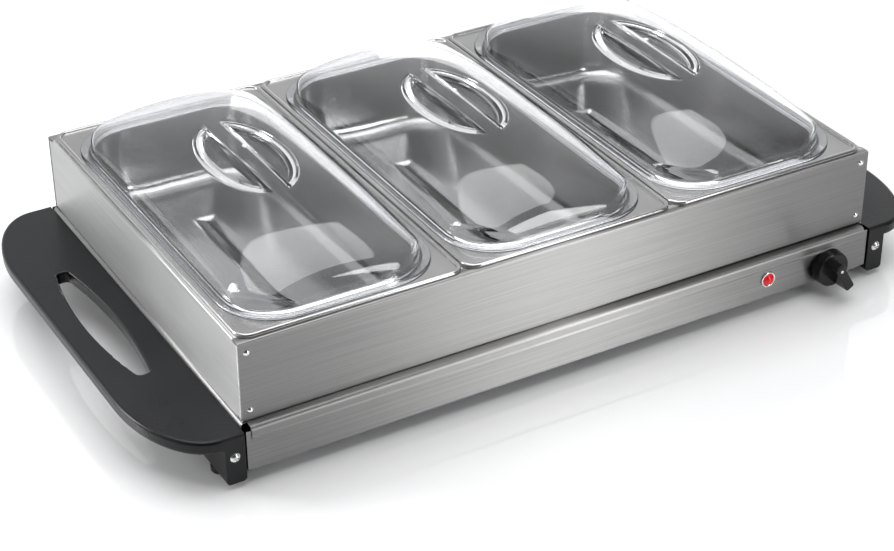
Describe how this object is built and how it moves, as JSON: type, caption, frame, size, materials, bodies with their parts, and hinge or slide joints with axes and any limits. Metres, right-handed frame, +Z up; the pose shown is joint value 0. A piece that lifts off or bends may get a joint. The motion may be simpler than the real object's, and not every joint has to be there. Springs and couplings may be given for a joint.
{
  "type": "electric buffet server",
  "caption": "Heated buffet tray on a low base with side handles, a lift-off frame of hanging pans under clear domed lids, and a thermostat knob.",
  "frame": {"origin": "on the table under the middle of the object's bounding box", "axes": "+X to the right along the front, +Y to the back, +Z up; the knob faces -Y"},
  "size_m": [0.67, 0.3936, 0.1577],
  "materials": {
    "brushed_stainless": "brushed along its length",
    "pressed_stainless": "pressed, half polished",
    "clear_plastic": "clear and glossy",
    "galvanised_steel": "dull galvanised",
    "bright_hardware": "bright plated",
    "black_moulding": "satin moulded",
    "black_gloss": "gloss",
    "foot_rubber": "matt",
    "foil": "crinkled foil",
    "silicone_sheath": "matt",
    "glass_fibre": "felted fibre",
    "ceramic_white": "unglazed",
    "brass_parts": "plain",
    "white_mark": "painted",
    "red_lens": "clear red",
    "lamp_glass": "clear",
    "brown_wire": "matt",
    "blue_wire": "matt",
    "green_wire": "matt"
  },
  "bodies": {
    "base": {"hot_plate": "brushed_stainless", "base_front_panel": "brushed_stainless", "base_rear_panel": "brushed_stainless", "base_side_left": "galvanised_steel", "base_side_right": "galvanised_steel", "bottom_cover": "galvanised_steel", "cover_screws": "bright_hardware", "handle_left": "black_moulding", "handle_right": "black_moulding", "handle_screws": "bright_hardware", "rubber_feet": "foot_rubber", "heater_foil": "foil", "heater_wire": "silicone_sheath", "insulation_mat": "glass_fibre", "heat_shield": "galvanised_steel", "thermal_fuse": "bright_hardware", "fuse_clip": "galvanised_steel", "thermostat_bracket": "galvanised_steel", "thermostat_body": "ceramic_white", "bimetal_strip": "brass_parts", "knob_bezel": "black_gloss", "indicator_lens": "red_lens", "indicator_bezel": "bright_hardware", "neon_lamp": "lamp_glass", "lamp_clip": "galvanised_steel", "terminal_block": "ceramic_white", "terminal_screws": "bright_hardware", "wire_live": "brown_wire", "wire_load": "brown_wire", "wire_neutral": "blue_wire", "wire_earth": "green_wire", "earth_stud": "brass_parts", "cord_gland": "black_moulding"},
    "knob": {"thermostat_shaft": "bright_hardware", "control_knob": "black_gloss", "knob_pointer_dot": "white_mark"},
    "buffet_frame": {"frame_front_panel": "brushed_stainless", "frame_rear_panel": "brushed_stainless", "frame_side_left": "brushed_stainless", "frame_side_right": "brushed_stainless", "frame_rivets": "bright_hardware", "divider_bar_left": "brushed_stainless", "divider_bar_right": "brushed_stainless"},
    "left_pan": {"pan_left": "pressed_stainless"},
    "left_lid": {"lid_left": "clear_plastic"},
    "middle_pan": {"pan_middle": "pressed_stainless"},
    "middle_lid": {"lid_middle": "clear_plastic"},
    "right_pan": {"pan_right": "pressed_stainless"},
    "right_lid": {"lid_right": "clear_plastic"}
  },
  "joints": [
    {"name": "frame_lift", "type": "slide", "parent": "base", "child": "buffet_frame", "axis": [0, 0, 1], "range_m": [0, 0.1]},
    {"name": "left_pan_lift", "type": "slide", "parent": "buffet_frame", "child": "left_pan", "axis": [0, 0, 1], "range_m": [0, 0.12]},
    {"name": "left_lid_lift", "type": "slide", "parent": "left_pan", "child": "left_lid", "axis": [0, 0, 1], "range_m": [0, 0.12]},
    {"name": "middle_pan_lift", "type": "slide", "parent": "buffet_frame", "child": "middle_pan", "axis": [0, 0, 1], "range_m": [0, 0.12]},
    {"name": "middle_lid_lift", "type": "slide", "parent": "middle_pan", "child": "middle_lid", "axis": [0, 0, 1], "range_m": [0, 0.12]},
    {"name": "right_pan_lift", "type": "slide", "parent": "buffet_frame", "child": "right_pan", "axis": [0, 0, 1], "range_m": [0, 0.12]},
    {"name": "right_lid_lift", "type": "slide", "parent": "right_pan", "child": "right_lid", "axis": [0, 0, 1], "range_m": [0, 0.12]},
    {"name": "knob_turn", "type": "hinge", "parent": "base", "child": "knob", "pos_m": [0.231, -0.1743, 0.0245], "axis": [0, -1, 0], "range_deg": [-150, 120]}
  ]
}
